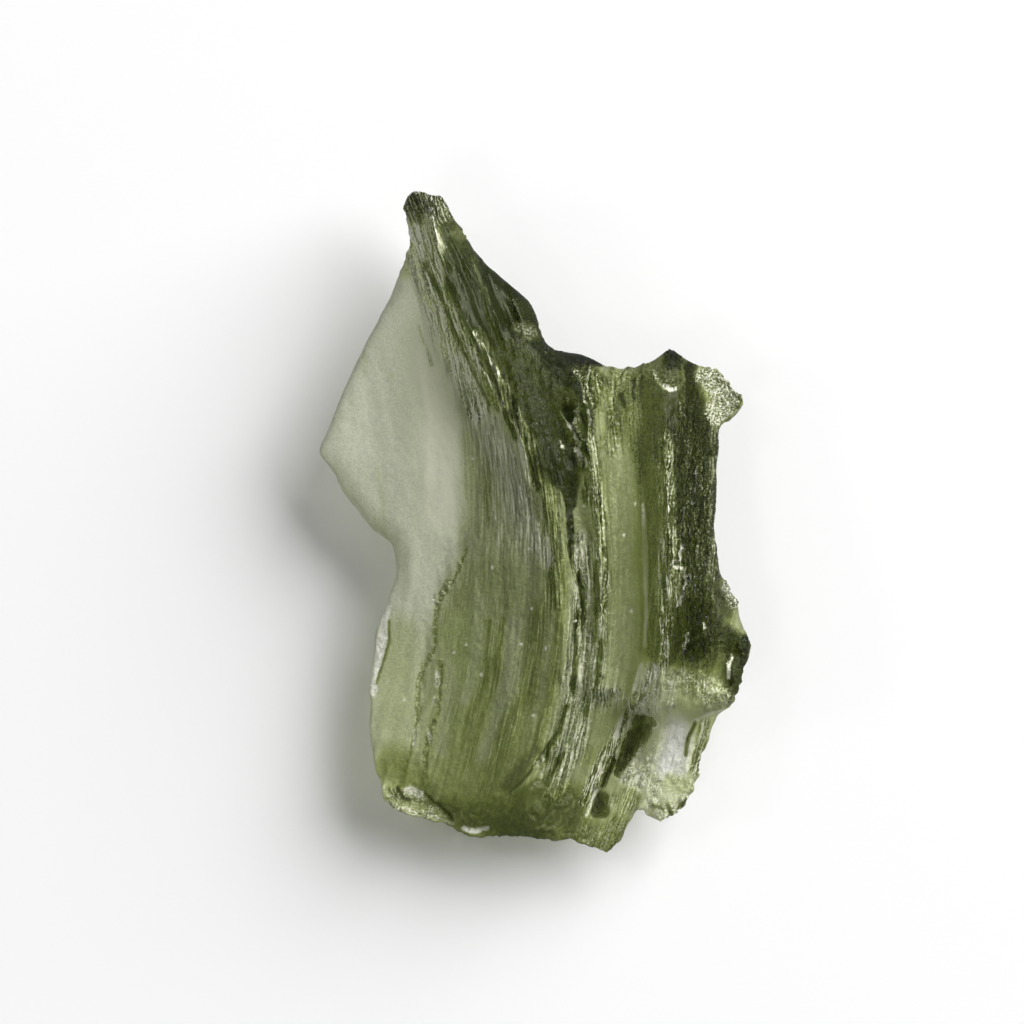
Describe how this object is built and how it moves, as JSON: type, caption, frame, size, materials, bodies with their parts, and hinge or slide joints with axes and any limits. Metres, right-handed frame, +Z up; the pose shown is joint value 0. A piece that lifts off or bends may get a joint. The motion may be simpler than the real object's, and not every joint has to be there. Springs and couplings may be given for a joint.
{
  "type": "moldavite stone",
  "caption": "Natural piece of translucent olive green impact glass with a pointed spire, a thin pale wing, flow ridges and a stepped lower edge.",
  "frame": {"origin": "centre of the bounding box in X and Y, at its lowest point, which is the flat spot on the back that the stone rests on", "axes": "+X to the stone's right seen from above, +Y towards its pointed spire, +Z up through its etched face"},
  "size_m": [0.0196, 0.03, 0.0082],
  "materials": {
    "moldavite_glass": "translucent olive green natural glass, etched satin with glossy ridge crests, grey-white where it is thin or crumbly"
  },
  "bodies": {
    "root": {"moldavite": "moldavite_glass"}
  },
  "joints": []
}
